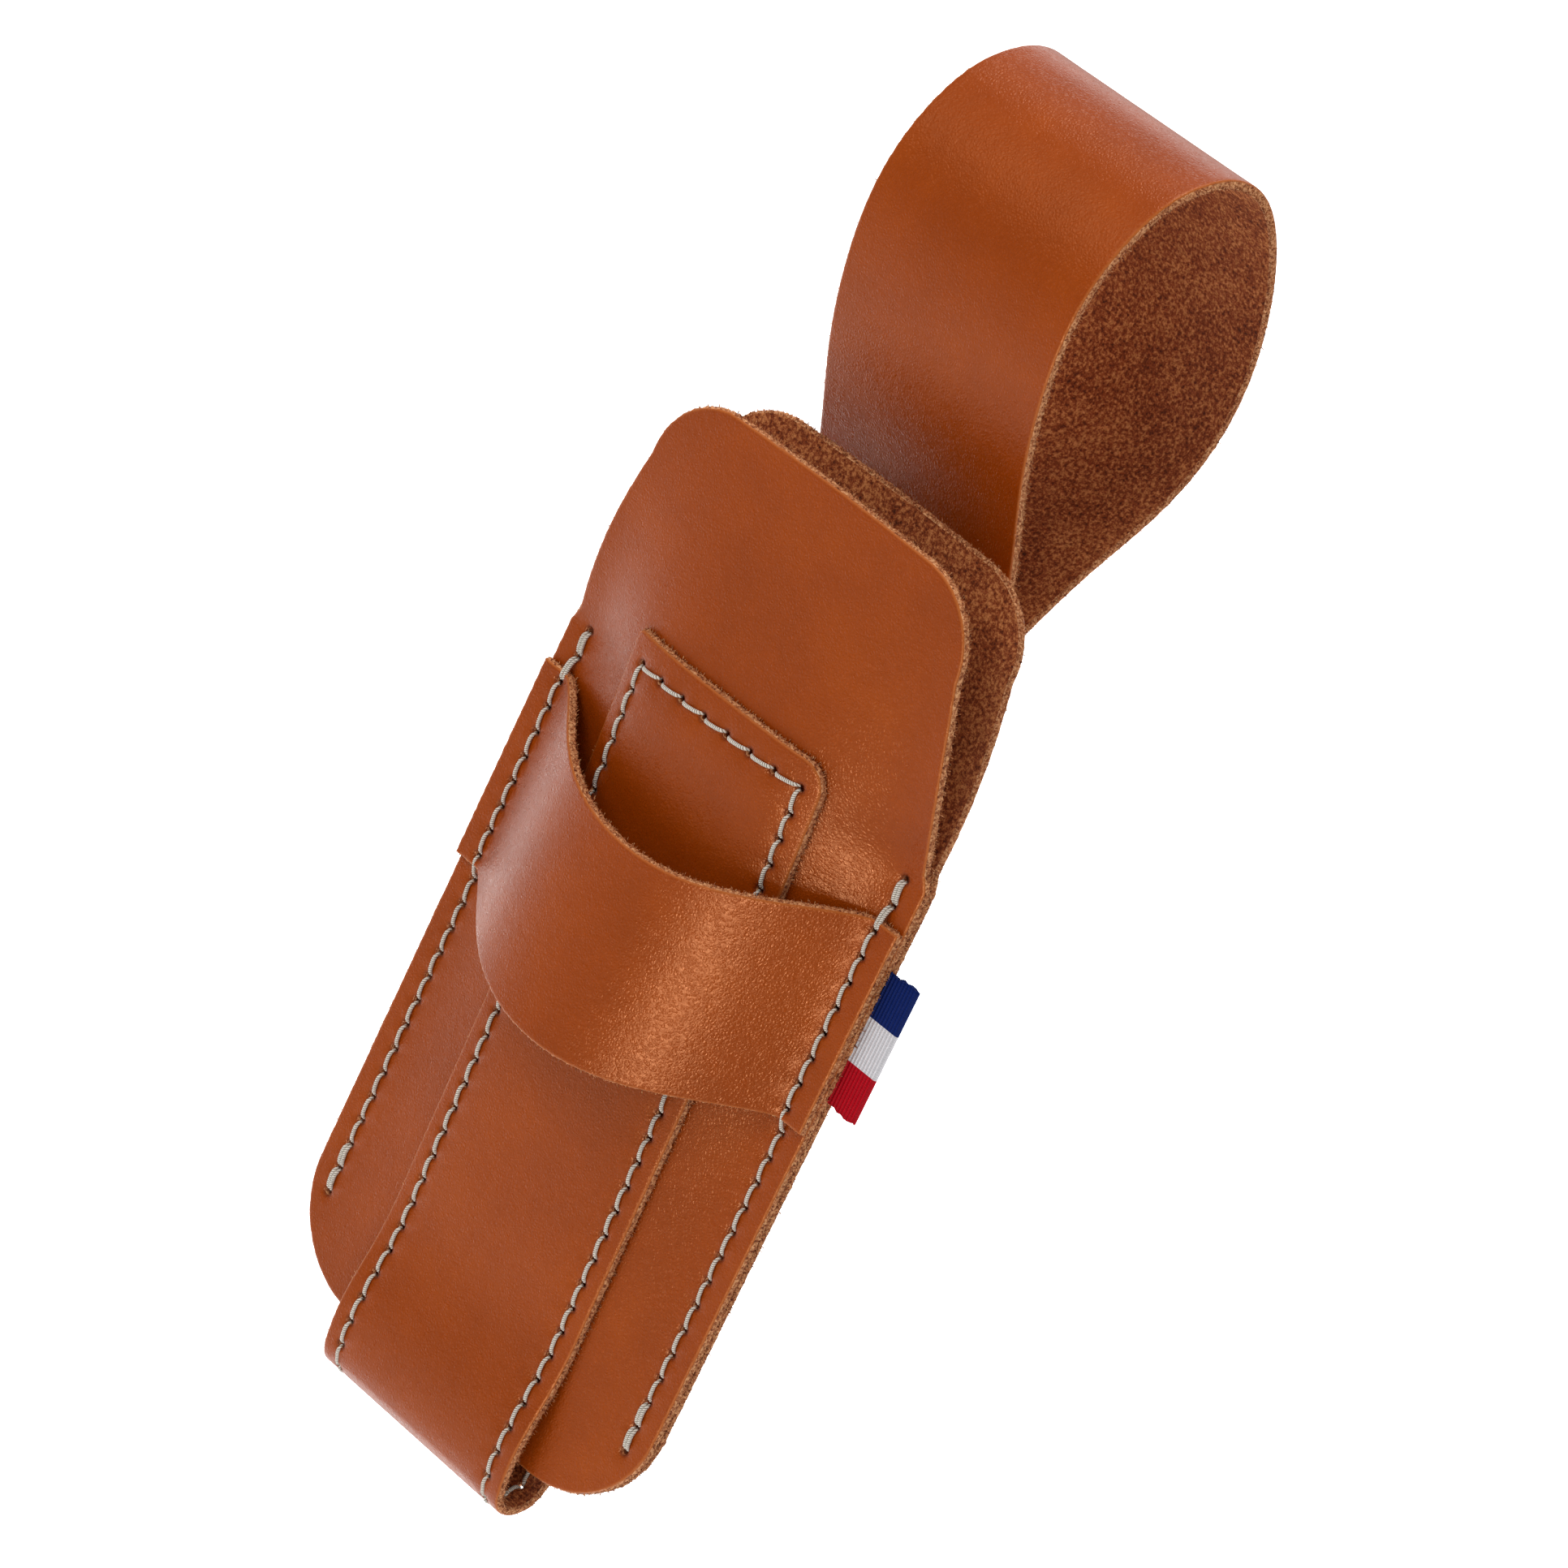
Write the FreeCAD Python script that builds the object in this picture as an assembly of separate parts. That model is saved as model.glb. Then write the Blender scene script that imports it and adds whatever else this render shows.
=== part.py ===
"""Leather belt sheath: pouch, tool loop, wrapped centre strap with a belt loop, ribbon tab, threads.

Built in millimetres with X across, Y towards the wearer, Z up along the sheath. The lowest hole of
the side seams is at z = 0 and the pouch's front face at y = 0 until everything is moved, at the
end, so that the origin is the top of the belt loop's inside, where the belt carries it.
"""
import FreeCAD
import Part
import math
import os
from FreeCAD import Vector

# Leather, thread, holes, and the small gap that a glue line leaves between two layers.
leather = 1.7
layer_gap = 0.1
thread = 0.7
thread_gap = 0.03
thread_clear = 0.08
thread_bend = 0.4
hole = 1.5

# Side seams.
seam_half_width = 39.8
seam_margin = 4.7
stitch_pitch = 5.0
seam_stitches = 23

# Outline of the two panels.
bottom_below_seam = 15.1
bottom_corner = 20.0
shoulder_step = 1.3
shoulder_height = 3.0
head_inset = 7.0
head_height = 50.3
head_crown = 1.3
head_corner = 14.8

# How far the panels stand out, as they would with a tool inside.
front_swell_bottom = 1.3
front_swell_slope = 0.042
front_swell_step = 2.0
front_edge_lean = 11.9
back_swell_bottom = 0.4
back_swell_slope = 0.015
back_swell_step = 1.2
back_edge_lean = 5.2
step_below_seam_top = 8.0
step_length = 10.0
edge_lean_length = 24.0
arch_fade = 12.0

# Centre strap: one strip from the front, round the bottom, up the back and over the belt loop.
strap_width = 47.0
strap_stitch_inset = 3.7
strap_top_above_seam = 10.5
strap_top_inset = 5.0
strap_corner = 5.0
box_row_stitches = 7
fold_drop = 10.3
fold_depth = 14.2
fold_front_stand = 3.3
fold_back_shift = 0.6
fold_start_below_seam = 2.0
front_run_end = 8.0
back_run_start = 15.0
back_holes_start = 10.0
strap_end_overlap = 25.0
end_climb = 12.0
end_clearance = 1.0
run_end_below_hinge = 5.0
back_row_below_hinge = 5.0

# Belt loop: a doubled stem that leans back from the hinge line, then a teardrop.
hinge_above_seam = 6.0
hinge_knuckle = 4.0
hinge_gap = 0.6
stem_length = 24.0
stem_lean = 23.0
loop_height = 94.9
loop_depth = 55.4

# Cross strap, the tool loop on the front.
cross_first_hole = 14
cross_last_hole = 21
cross_below_first_hole = 2.2
cross_above_last_hole = 1.9
cross_top_dip = 10.1
cross_bottom_dip = 9.2
cross_edge_curve = 1.4
cross_room_top = 10.7
cross_room_bottom = 14.2
cross_round = 1.05
cross_seam_flat = 1.2

# Folded ribbon tab in the right seam.
ribbon_width = 26.0
ribbon_low = 74.0
ribbon_thick = 1.0
ribbon_out = 6.7
ribbon_in = 7.0
ribbon_hinge_gap = 1.0
ribbon_gap = 0.02

body_half_width = seam_half_width + seam_margin
head_half_width = body_half_width - head_inset
seam_top = seam_stitches * stitch_pitch
back_rear = 2 * leather + layer_gap
cross_end_low = cross_first_hole * stitch_pitch - cross_below_first_hole
cross_end_high = cross_last_hole * stitch_pitch + cross_above_last_hole
strap_half_width = strap_width / 2
column_x = strap_half_width - strap_stitch_inset
hinge_z = seam_top + hinge_above_seam
row_z = hinge_z - back_row_below_hinge
head_top = seam_top + head_height + head_crown


def swell_across(x):
    """Share of the full swell at x: a flat-topped arch that dies out at the seams."""
    u = min(1.0, abs(x) / seam_half_width)
    return 1 - u**4 * (5 - 4 * u)


def column_swell(z, base, slope, step):
    """How far a panel stands out at the stitch columns: a slope, and a step near the seam tops."""
    over = (z - seam_top + step_below_seam_top) / step_length
    return base + slope * z + step * (1 + math.tanh(over)) / 2


def edge_lean(z, most):
    """How far the free edges of a panel's head stand out above the seams."""
    over = max(0.0, z - seam_top)
    return most * (1 - math.exp(-over / edge_lean_length)) * over / (over + shoulder_height)


def front_face(x, z):
    """The y of the front panel's outer face."""
    column = column_swell(z, front_swell_bottom, front_swell_slope, front_swell_step)
    lean = edge_lean(z, front_edge_lean)
    return -lean - (column - lean) * swell_across(x) / swell_across(column_x)


def back_face(x, z):
    """The y of the back panel's outer face."""
    column = column_swell(z, back_swell_bottom, back_swell_slope, back_swell_step)
    lean = edge_lean(z, back_edge_lean)
    return back_rear + lean + (column - lean) * swell_across(x) / swell_across(column_x)


def even(start, end, count):
    """count + 1 evenly spaced values from start to end."""
    return [start + (end - start) * i / count for i in range(count + 1)]


def sheet(place, first, second):
    """A closed solid: place(a, b) gives the outer and the inner point of the sheet at a, b."""
    grids = ([], [])
    for a in first:
        pairs = [place(a, b) for b in second]
        grids[0].append([pair[0] for pair in pairs])
        grids[1].append([pair[1] for pair in pairs])
    surfaces = []
    for grid in grids:
        surface = Part.BSplineSurface()
        surface.interpolate(grid)
        surfaces.append(surface)
    faces = [surface.toShape() for surface in surfaces]
    outer, inner = surfaces
    for side in (0, 1):
        pair = [surface.uIso(surface.bounds()[side]).toShape() for surface in surfaces]
        faces.append(Part.makeRuledSurface(*pair))
        pair = [surface.vIso(surface.bounds()[2 + side]).toShape() for surface in surfaces]
        faces.append(Part.makeRuledSurface(*pair))
    shell = Part.makeShell(faces)
    shell.sewShape()
    solid = Part.makeSolid(shell)
    if solid.Volume < 0:
        solid.reverse()
    return solid


def thickened(face, x, z, inward):
    """The point of the surface y = face(x, z), and the point one leather inside it."""
    step = 0.01
    slope_x = (face(x + step, z) - face(x - step, z)) / (2 * step)
    slope_z = (face(x, z + step) - face(x, z - step)) / (2 * step)
    normal = Vector(-slope_x, 1, -slope_z).normalize() * inward
    point = Vector(x, face(x, z), z)
    return point, point + normal * leather


def panel_outline():
    """The outline that both panels are cut to, as a prism through the whole depth."""
    low = -bottom_below_seam
    corner_x = body_half_width - bottom_corner
    corner_z = low + bottom_corner
    corner_bend = bottom_corner * math.sqrt(0.5)
    shoulder_x = body_half_width - shoulder_step
    shoulder_z = seam_top + shoulder_height
    crown_radius = (head_half_width**2 + head_crown**2) / (2 * head_crown)
    crown_centre = head_top - crown_radius
    round_x = head_half_width - head_corner
    round_z = crown_centre + math.sqrt((crown_radius - head_corner) ** 2 - round_x**2)
    tilt = math.atan2(round_x, round_z - crown_centre)
    side_rise = round_z - shoulder_z
    side_step = shoulder_x - head_half_width
    side_radius = (side_rise**2 + side_step**2) / (2 * side_step)
    side_bow = side_radius - math.sqrt(side_radius**2 - side_rise**2 / 4)

    def on_head_corner(angle):
        return (round_x + head_corner * math.sin(angle), round_z + head_corner * math.cos(angle))

    # Each stretch of the right half, upwards: its end, and a point on its arc or None if straight.
    stretches = [
        ((body_half_width, corner_z), (corner_x + corner_bend, corner_z - corner_bend)),
        ((body_half_width, seam_top), None),
        ((shoulder_x, shoulder_z), None),
        ((head_half_width, round_z), (head_half_width + side_bow, round_z - side_rise / 2)),
        (on_head_corner(tilt), on_head_corner(math.pi / 4 + tilt / 2)),
    ]
    depth = body_half_width
    edges = [Part.makeLine(Vector(-corner_x, -depth, low), Vector(corner_x, -depth, low))]
    ends = []
    for side in (1, -1):
        start = Vector(side * corner_x, -depth, low)
        for (x, z), bend in stretches:
            end = Vector(side * x, -depth, z)
            if bend is None:
                edges.append(Part.makeLine(start, end))
            else:
                middle = Vector(side * bend[0], -depth, bend[1])
                edges.append(Part.Arc(start, middle, end).toShape())
            start = end
        ends.append(start)
    edges.append(Part.Arc(ends[0], Vector(0, -depth, head_top), ends[1]).toShape())
    wire = Part.Wire(Part.__sortEdges__(edges))
    return Part.Face(wire).extrude(Vector(0, 2 * depth, 0))


def make_panel(face, inward):
    """One leather panel on the surface y = face(x, z), cut to the outline."""
    margin = 2.0
    across = even(-body_half_width - margin, body_half_width + margin, 30)
    up = even(-bottom_below_seam - margin, head_top + margin, 52)
    return sheet(lambda x, z: thickened(face, x, z, inward), across, up).common(panel_outline())


def strap_route():
    """The strip's mid-line at its stitch columns: front, fold, back, belt loop and sewn end."""
    lift = layer_gap + leather / 2
    spacing = leather + layer_gap
    points = []
    for z in even(seam_top + strap_top_above_seam, front_run_end, 12):
        points.append((front_face(column_x, z) - lift, z))
    front_y = front_face(column_x, 0.0) - lift
    points += fold_points(front_y, back_face(column_x, fold_start_below_seam) + lift)
    end_low = hinge_z - strap_end_overlap
    run_end = hinge_z - run_end_below_hinge
    for z in even(back_run_start, run_end, 30):
        points.append((back_face(column_x, z) + lift + spacing * over_end(z), z))
    root = hinge_point()
    lean = math.radians(stem_lean)
    stem = [0.2, 0.5, 0.8, 1.0]
    along = (math.sin(lean), math.cos(lean))
    for side, shares in ((1, stem), (-1, stem[::-1])):
        if side < 0:
            points += loop_points(root, along)
        for share in shares:
            reach = share * stem_length
            y = root[0] + along[0] * reach + side * along[1] * spacing / 2
            z = root[1] + along[1] * reach - side * along[0] * spacing / 2
            points.append((y, z))
    for z in even(run_end, end_low, 5):
        points.append((back_face(column_x, z) + lift, z))
    return points


def over_end(z):
    """Share of the rise by which the strap climbs over its own tucked end, at height z."""
    share = (z - hinge_z + strap_end_overlap + end_clearance) / end_climb + 1.0
    share = min(1.0, max(0.0, share))
    return share * share * (3 - 2 * share)


def fold_points(front_y, back_y):
    """The hollow fold under the pouch, between the strip's front and back runs."""
    bottom = -bottom_below_seam - fold_drop + leather / 2
    middle = back_rear / 2 + fold_back_shift
    reach = (fold_depth - leather) / 2
    centre = bottom + reach
    # A little rounder than a circle at its corners, and leaning in on its way up to the pouch.
    corner = 0.72 * reach
    back_side = middle + 0.86 * reach
    side_z = centre + 0.6 * bottom_below_seam
    return [
        (front_y - fold_front_stand / 3, -fold_start_below_seam),
        (middle - reach - fold_front_stand / 8, side_z),
        (middle - reach, centre),
        (middle - corner, centre - corner),
        (middle, bottom),
        (middle + corner, centre - corner),
        (middle + reach, centre),
        (back_side, side_z),
        ((back_side + back_y) / 2, 0.0),
    ]


def hinge_point():
    """Where the doubled strip leaves the pouch: y and z of the line that the belt loop swings on."""
    return (back_face(column_x, hinge_z) + leather + 1.5 * layer_gap, hinge_z)


def loop_points(root, along):
    """The teardrop above the stem, as shares of the loop's depth and height, rear leg first."""
    foot = (root[0] + along[0] * stem_length, root[1] + along[1] * stem_length)
    shares = [
        (0.137, 0.111),
        (0.327, 0.247),
        (0.514, 0.365),
        (0.617, 0.481),
        (0.638, 0.593),
        (0.579, 0.737),
        (0.426, 0.891),
        (0.271, 0.972),
        (0.072, 1.000),
        (-0.052, 0.985),
        (-0.170, 0.950),
        (-0.274, 0.885),
        (-0.361, 0.758),
        (-0.336, 0.568),
        (-0.226, 0.395),
        (-0.105, 0.2625),
        (-0.022, 0.157),
        (0.007, 0.083),
    ]
    return [(foot[0] + y * loop_depth, foot[1] + z * loop_height) for y, z in shares]


def route_curve():
    """The strip's mid-line as one smooth curve in the plane x = 0."""
    curve = Part.BSplineCurve()
    curve.interpolate([Vector(0, y, z) for y, z in strap_route()])
    return curve


def outward(curve, u):
    """The curve's point at u, and the unit vector there that points out of the grain side."""
    tangent = curve.tangent(u)[0]
    return curve.value(u), Vector(0, tangent.z, -tangent.y)


def arch(face, x, z, low, high):
    """How far the panel under the strip stands out at x, past its height at the stitch columns."""
    fade = min(1.0, max(0.0, (z - low) / arch_fade), max(0.0, (high - z) / arch_fade))
    return (face(x, z) - face(column_x, z)) * fade


class Strip:
    """The centre strap's strip of leather, before it is cut at the hinge line."""

    def __init__(self):
        self.curve = route_curve()
        first, last = self.curve.FirstParameter, self.curve.LastParameter
        steps = even(first, last, 400)
        self.fold = min(steps, key=lambda u: self.curve.value(u).z)
        self.steps = even(first, last, 190)

    def surface(self, u, x, share):
        """A point of the strip: share is 0.5 on the grain side and -0.5 on the flesh side."""
        middle, normal = outward(self.curve, u)
        if u < self.fold:
            rise = arch(front_face, x, middle.z, -arch_fade, 2 * head_top)
        else:
            rise = arch(back_face, x, middle.z, 0.0, hinge_z + 1.5 * arch_fade)
        return Vector(x, middle.y + rise, middle.z) + normal * (share * leather)

    def solid(self):
        """The whole strip, with its two top corners rounded."""
        xs = even(-strap_half_width, strap_half_width, 8)
        whole = sheet(lambda u, x: (self.surface(u, x, 0.5), self.surface(u, x, -0.5)), self.steps, xs)
        return whole.cut(corner_waste())

    def length(self):
        """The strip's length along its mid-line."""
        return self.curve.length()

    def at(self, distance):
        """The curve's parameter at a distance from the strip's top end."""
        return self.curve.parameterAtDistance(distance, self.curve.FirstParameter)

    def distance(self, rising, z):
        """The distance at which the strip first passes height z, before or after the fold."""
        steps = even(self.curve.FirstParameter, self.curve.LastParameter, 2000)
        for u in steps:
            here = self.curve.value(u).z
            if (u > self.fold and here >= z) if rising else here <= z:
                return self.curve.length(self.curve.FirstParameter, u)
        return self.length()


def corner_waste():
    """What is cut off to round the two corners of the strip's top end."""
    low = seam_top + strap_top_above_seam - strap_corner
    depth = strap_width
    size = strap_corner + 3.0
    pieces = []
    for side in (1, -1):
        x = side * (strap_half_width - strap_corner)
        block = Part.makeBox(size, depth, size, Vector(min(x, x + side * size), -depth, low))
        rod = Part.makeCylinder(strap_corner, depth, Vector(x, -depth, low), Vector(0, 1, 0))
        pieces.append(block.cut(rod))
    return Part.makeCompound(pieces)


def knuckle_cut():
    """The curved slot that parts the belt loop from the sewn strip, round the hinge line."""
    y, z = hinge_point()
    wide = 2 * strap_width
    start = Vector(-wide / 2, y, z)
    across = Vector(1, 0, 0)
    big = Part.makeCylinder(hinge_knuckle + hinge_gap, wide, start, across)
    ring = big.cut(Part.makeCylinder(hinge_knuckle, wide, start, across))
    reach = 2 * (hinge_knuckle + hinge_gap)
    return ring.common(Part.makeBox(wide, 2 * reach, reach, Vector(-wide / 2, y - reach, z)))


def cross_band(x, z):
    """The cross strap's lower and upper edge at x, and the share of its height at z."""
    u = min(1.0, abs(x) / seam_half_width)
    bell = (1 - u * u) ** cross_edge_curve
    low = cross_end_low - cross_bottom_dip * bell
    high = cross_end_high - cross_top_dip * bell
    return low, high, (z - low) / (high - low)


def cross_face(x, z):
    """The y of the cross strap's outer face."""
    share = cross_band(x, z)[2]
    u = min(1.0, abs(x) / (seam_half_width - cross_seam_flat))
    room = cross_room_bottom + (cross_room_top - cross_room_bottom) * share
    return front_face(x, z) - layer_gap - leather - room * (1 - u * u) ** cross_round


def make_cross_strap():
    """The tool loop: a curved band over the front, sewn down in both side seams."""

    def place(x, share):
        low, high, _ = cross_band(x, 0.0)
        return thickened(cross_face, x, low + (high - low) * share, 1)

    return sheet(place, even(-body_half_width, body_half_width, 44), even(0.0, 1.0, 10))


def make_ribbon_root():
    """The ends of the folded ribbon, held between the panels and caught by the right seam."""
    low = Vector(body_half_width - ribbon_in, back_rear / 2 - ribbon_thick / 2, ribbon_low)
    return Part.makeBox(ribbon_in, ribbon_thick, ribbon_width, low)


def make_ribbon_tab():
    """The part of the ribbon that stands out of the seam and folds back on itself."""
    bend = ribbon_thick / 2
    start = body_half_width + ribbon_hinge_gap + bend
    end = body_half_width + ribbon_out - bend
    low = Vector(start, back_rear / 2 - bend, ribbon_low)
    tab = Part.makeBox(end - start, ribbon_thick, ribbon_width, low)
    for x in (start, end):
        edge = Vector(x, back_rear / 2, ribbon_low)
        tab = tab.fuse(Part.makeCylinder(bend, ribbon_width, edge, Vector(0, 0, 1)))
    return tab.removeSplitter()


class Site:
    """One stitch hole: its mouth outside, the way out, its depth, and if it goes into the pouch."""

    def __init__(self, mouth, out, depth, sewn=True):
        self.mouth = mouth
        self.out = out
        self.depth = depth
        self.sewn = sewn

    def inner(self):
        """The middle of the hole's inner end."""
        return self.mouth - self.out * self.depth

    def cutter(self):
        """A pin that drills the hole, a little longer than the layers are thick."""
        beyond = 1.0
        start = self.mouth + self.out * beyond
        return Part.makeCylinder(hole / 2, self.depth + 2 * beyond, start, self.out * -1)


def staple(path):
    """One stitch: a round thread along a path of straight runs joined by small bends."""
    edges = []
    start = path[0]
    for before, corner, after in zip(path, path[1:], path[2:]):
        back = (before - corner).normalize()
        ahead = (after - corner).normalize()
        inwards = (back + ahead).normalize()
        half = back.getAngle(ahead) / 2
        centre = corner + inwards * (thread_bend / math.sin(half))
        first = corner + back * (thread_bend / math.tan(half))
        last = corner + ahead * (thread_bend / math.tan(half))
        edges.append(Part.makeLine(start, first))
        edges.append(Part.Arc(first, centre - inwards * thread_bend, last).toShape())
        start = last
    edges.append(Part.makeLine(start, path[-1]))
    ring = Part.Wire(Part.makeCircle(thread / 2, path[0], path[1] - path[0]))
    return Part.Wire(edges).makePipeShell([ring], True, False)


def stitch(one, two, lift, inside, over=()):
    """The stitch between two holes, outside or inside; lift clears the leather's curve between."""
    way = (two.mouth - one.mouth).normalize()
    stand = thread / 2 + thread_clear + lift
    path = []
    for site, turn in ((one, 1), (two, -1)):
        foot = site.mouth + way * (turn * (thread + thread_gap) / 2)
        middle = foot - site.out * (site.depth / 2)
        if inside:
            ends = [middle - site.out * thread_gap, foot - site.out * (site.depth + stand)]
        else:
            ends = [middle + site.out * thread_gap, foot + site.out * stand]
        path += ends if turn > 0 else list(over) + ends[::-1]
    return staple(path)


def seam_sites(side):
    """The holes of one side seam, from the bottom up."""
    sites = []
    for i in range(seam_stitches + 1):
        z = i * stitch_pitch
        covered = cross_end_low < z < cross_end_high
        extra = leather + layer_gap if covered else 0.0
        mouth = Vector(side * seam_half_width, -extra, z)
        sites.append(Site(mouth, Vector(0, -1, 0), back_rear + extra))
    return sites


def seam_threads(sites):
    """The outer and the inner thread of a side seam, as two groups of stitches."""
    outer = []
    inner = []
    for one, two in zip(sites, sites[1:]):
        over = []
        if one.depth != two.depth:
            rising = two.depth > one.depth
            edge = cross_end_low - thread if rising else cross_end_high + thread
            y = min(one.mouth.y, two.mouth.y) - thread / 2 - thread_clear
            over = [Vector(one.mouth.x, y, edge)]
        outer.append(stitch(one, two, 0.0, False, over))
        inner.append(stitch(one, two, 0.0, True))
    return Part.makeCompound(outer), Part.makeCompound(inner)


def inner_face(face, x, z, inward):
    """The y of a panel's inner face."""
    point, inner = thickened(face, x, z, inward)
    return point.y + leather**2 / (inner - point).y


def sewn_depth(mouth, out, face, inward):
    """How far it is from a hole's mouth, straight in, to the inner face of the panel under it."""
    depth = back_rear
    for _ in range(8):
        inner = mouth - out * depth
        depth = (mouth.y - inner_face(face, inner.x, inner.z, inward)) / out.y
    return depth


def strap_site(strip, distance, x):
    """A hole in the strip at a distance along it, through whatever lies under it there."""
    u = strip.at(distance)
    mouth = strip.surface(u, x, 0.5)
    out = outward(strip.curve, u)[1]
    if u < strip.fold and mouth.z > 0:
        return Site(mouth, out, sewn_depth(mouth, out, front_face, 1))
    if u > strip.fold and mouth.z > back_holes_start:
        return Site(mouth, out, sewn_depth(mouth, out, back_face, -1))
    return Site(mouth, out, leather, False)


def strap_lines(strip):
    """The strap's stitching: two columns from the front box row to the back row, and the rows."""
    start = strap_top_inset
    end = strip.distance(True, row_z)
    count = round((end - start) / stitch_pitch)
    stops = even(start, end, count)
    lines = []
    for side in (-1, 1):
        lines.append([(stop, side * column_x) for stop in stops])
    for stop in (start, end):
        lines.append([(stop, x) for x in even(-column_x, column_x, box_row_stitches)])
    return lines


def strap_threads(strip):
    """The outer and the inner thread of the strap's stitching, and its holes."""
    outer = []
    inner = []
    holes = {}
    for line in strap_lines(strip):
        sites = []
        for distance, x in line:
            key = (round(distance, 3), round(x, 3))
            holes.setdefault(key, strap_site(strip, distance, x))
            sites.append(holes[key])
        for i, (one, two) in enumerate(zip(sites, sites[1:])):
            over = 0.0
            under = 0.0
            for share in (0.25, 0.5, 0.75):
                distance = line[i][0] + (line[i + 1][0] - line[i][0]) * share
                x = line[i][1] + (line[i + 1][1] - line[i][1]) * share
                site = strap_site(strip, distance, x)
                mouth = one.mouth + (two.mouth - one.mouth) * share
                inside = one.inner() + (two.inner() - one.inner()) * share
                over = max(over, (site.mouth - mouth).dot(site.out))
                under = max(under, (inside - site.inner()).dot(site.out))
            outer.append(stitch(one, two, over, False))
            if one.sewn == two.sewn:
                inner.append(stitch(one, two, under, True))
    return Part.makeCompound(outer), Part.makeCompound(inner), list(holes.values())


def build():
    """Every piece by name, in the drafting frame."""
    front = make_panel(front_face, 1)
    back = make_panel(back_face, -1)
    cross = make_cross_strap()
    root = make_ribbon_root()
    ribbon_room = root.makeOffsetShape(ribbon_gap, 0.001)
    front = front.cut(ribbon_room)
    back = back.cut(ribbon_room)
    strip = Strip()
    strap = strip.solid()
    left = seam_sites(-1)
    right = seam_sites(1)
    strap_outer, strap_inner, strap_holes = strap_threads(strip)
    drills = Part.makeCompound([site.cutter() for site in left + right + strap_holes])
    pieces = {
        "front_panel": front.cut(drills),
        "back_panel": back.cut(drills),
        "cross_strap": cross.cut(Part.makeCompound([site.cutter() for site in left + right])),
        "ribbon_root": root.cut(drills),
        "ribbon_tab": make_ribbon_tab(),
    }
    strap = strap.cut(Part.makeCompound([site.cutter() for site in strap_holes]))
    lengths = sorted(strap.cut(knuckle_cut()).Solids, key=lambda s: s.BoundBox.ZMin)
    pieces["centre_strap"], pieces["strap_end"], pieces["belt_loop"] = lengths
    pieces["left_seam_thread_outer"], pieces["left_seam_thread_inner"] = seam_threads(left)
    pieces["right_seam_thread_outer"], pieces["right_seam_thread_inner"] = seam_threads(right)
    pieces["strap_thread_outer"] = strap_outer
    pieces["strap_thread_inner"] = strap_inner
    return pieces


def belt_seat():
    """The top of the belt loop's inside: the origin of the finished part."""
    curve = route_curve()
    steps = even(curve.FirstParameter, curve.LastParameter, 4000)
    top = max((curve.value(u) for u in steps), key=lambda p: p.z)
    return Vector(0, top.y, top.z - leather / 2)


os.makedirs("parts", exist_ok=True)
origin = belt_seat()
for name, shape in build().items():
    shape.translate(origin * -1)
    shape.exportStep("parts/" + name + ".step")
    box = shape.BoundBox
    low = [round(v, 1) for v in (box.XMin, box.YMin, box.ZMin)]
    high = [round(v, 1) for v in (box.XMax, box.YMax, box.ZMax)]
    print(name, len(shape.Solids), round(shape.Volume, 1), shape.isValid(), low, high)
print("origin", origin, "strip", round(Strip().length(), 1))
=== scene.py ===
"""A hand-stitched leather belt sheath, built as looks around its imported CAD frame."""
import math
import random

import bmesh
import bpy
import numpy as np
from mathutils import Matrix, Vector
from mathutils.geometry import delaunay_2d_cdt


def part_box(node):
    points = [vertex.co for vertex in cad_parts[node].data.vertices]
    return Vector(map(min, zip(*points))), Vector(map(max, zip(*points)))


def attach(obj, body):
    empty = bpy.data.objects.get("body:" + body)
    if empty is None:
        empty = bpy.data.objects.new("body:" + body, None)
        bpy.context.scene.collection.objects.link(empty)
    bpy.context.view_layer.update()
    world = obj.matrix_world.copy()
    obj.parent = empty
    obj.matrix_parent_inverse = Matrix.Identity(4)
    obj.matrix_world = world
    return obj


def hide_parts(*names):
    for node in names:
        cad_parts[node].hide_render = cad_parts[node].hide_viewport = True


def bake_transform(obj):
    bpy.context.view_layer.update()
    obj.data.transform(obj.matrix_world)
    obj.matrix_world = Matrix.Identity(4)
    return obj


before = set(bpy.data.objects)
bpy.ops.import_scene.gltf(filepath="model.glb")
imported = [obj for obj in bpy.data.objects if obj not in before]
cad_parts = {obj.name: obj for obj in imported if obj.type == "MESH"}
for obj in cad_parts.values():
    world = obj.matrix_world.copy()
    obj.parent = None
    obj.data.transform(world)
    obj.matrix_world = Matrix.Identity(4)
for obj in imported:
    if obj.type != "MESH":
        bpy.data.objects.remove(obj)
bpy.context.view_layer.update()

# ---- Front panel --------------------------------------------------------------------------------
# The front of the pouch: one piece of vegetable-tanned cowhide, 1.7 mm thick, die-cut to an outline
# with a tall rounded head. It is sewn to the back panel down both sides and bulges between them.
# Sizes are in millimetres, as the maker drafts them: X across, Z up from the lowest seam hole.
ribbon_low, ribbon_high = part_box("ribbon_root")
panel_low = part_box("front_panel")[0]
leather = 1.7
layer_gap = 0.1
seam_half_width = 39.8
seam_margin = 4.7
stitch_pitch = 5.0
seam_stitches = 23
bottom_below_seam = 15.1
pouch_depth = 2 * leather + layer_gap
shift_y = pouch_depth / 2 - 500 * (ribbon_low.y + ribbon_high.y)
shift_z = -bottom_below_seam - 1000 * panel_low.z
body_half_width = seam_half_width + seam_margin
seam_top = seam_stitches * stitch_pitch
head_half_width = 37.5
head_height = 50.3
head_crown = 1.3
head_top = seam_top + head_height + head_crown
head_corner = 14.8
bottom_corner = 20.0
shoulder_step = 1.3
shoulder_height = 3.0
flank_bow = 0.84
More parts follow.
